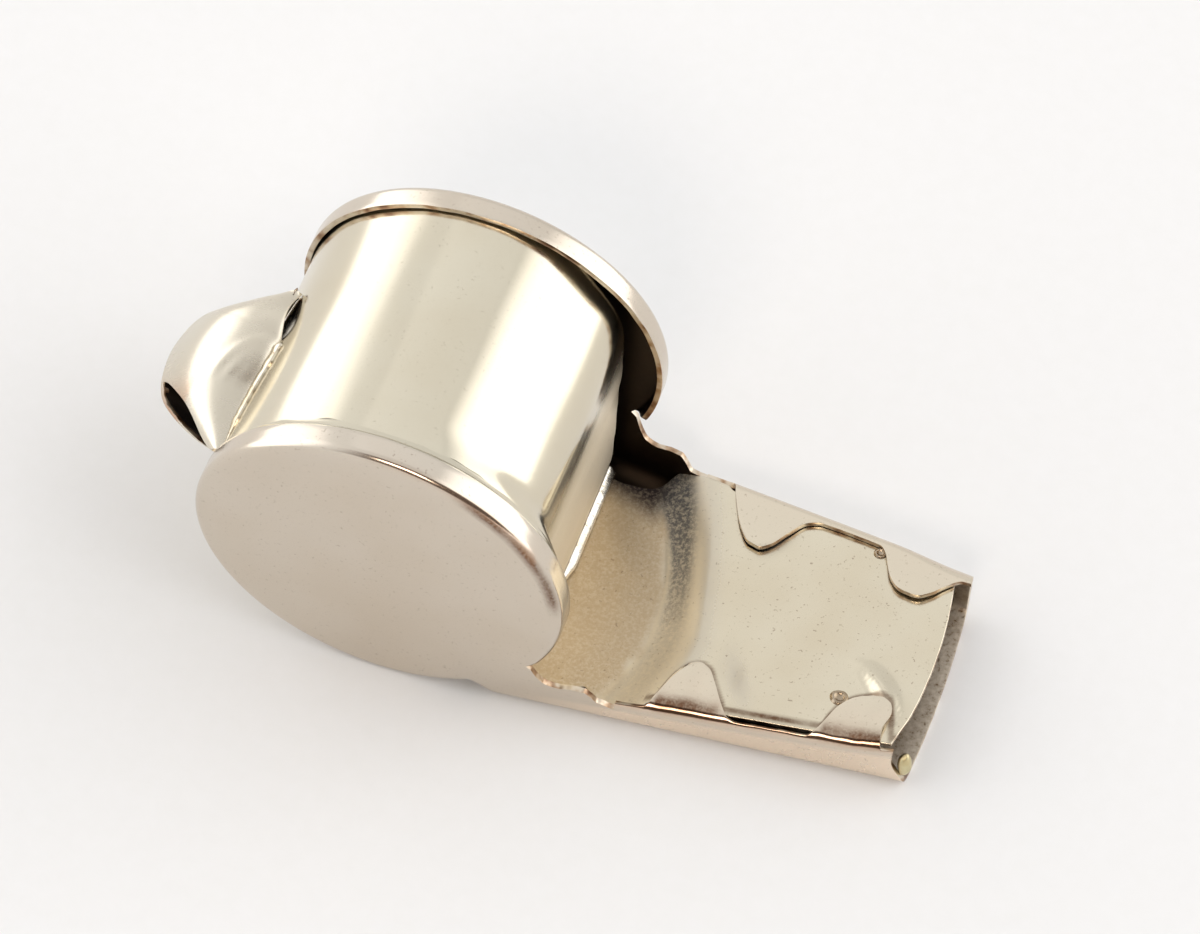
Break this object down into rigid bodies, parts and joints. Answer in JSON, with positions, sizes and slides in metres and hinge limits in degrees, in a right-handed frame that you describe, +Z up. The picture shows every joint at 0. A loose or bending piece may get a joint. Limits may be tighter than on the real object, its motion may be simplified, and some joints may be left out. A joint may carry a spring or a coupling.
{
  "type": "pea whistle",
  "caption": "Pressed sheet-metal pea whistle: a round drum with turned rims, a flat mouthpiece with folded tabs, a lanyard lug on the back and a cork ball inside.",
  "frame": {"origin": "middle of the bounding box's bottom face, under the whistle as it lies on the flat side of its mouthpiece", "axes": "+X along the mouthpiece towards its mouth, +Y along the drum's axis, +Z up"},
  "size_m": [0.0467, 0.0188, 0.022],
  "materials": {
    "plated_shell": "old nickel plate on pressed sheet, warm tint, fine scratches, copper-coloured wear on the edges",
    "plated_band": "old nickel plate, smooth, with faint yellow stains",
    "plated_lug": "old nickel plate, worn to brown at the rim of the eye",
    "tarnished_plate": "thin plate gone matt and speckled brown behind the roof",
    "solder": "dull grey solder",
    "cork": "natural cork, matt and pitted"
  },
  "bodies": {
    "whistle": {"body_shell": "plated_shell", "drum_band": "plated_band", "windway_plate": "tarnished_plate", "lanyard_lug": "plated_lug", "rim_solder": "solder", "lug_solder": "solder", "foot_solder": "solder", "mouth_solder": "solder", "near_tab_bead": "solder", "far_tab_bead": "solder"},
    "pea": {"pea": "cork"}
  },
  "joints": [
    {"name": "pea_orbit", "type": "hinge", "parent": "whistle", "child": "pea", "pos_m": [-0.00755, 0, 0.0091], "axis": [0, 1, 0], "continuous": true}
  ]
}
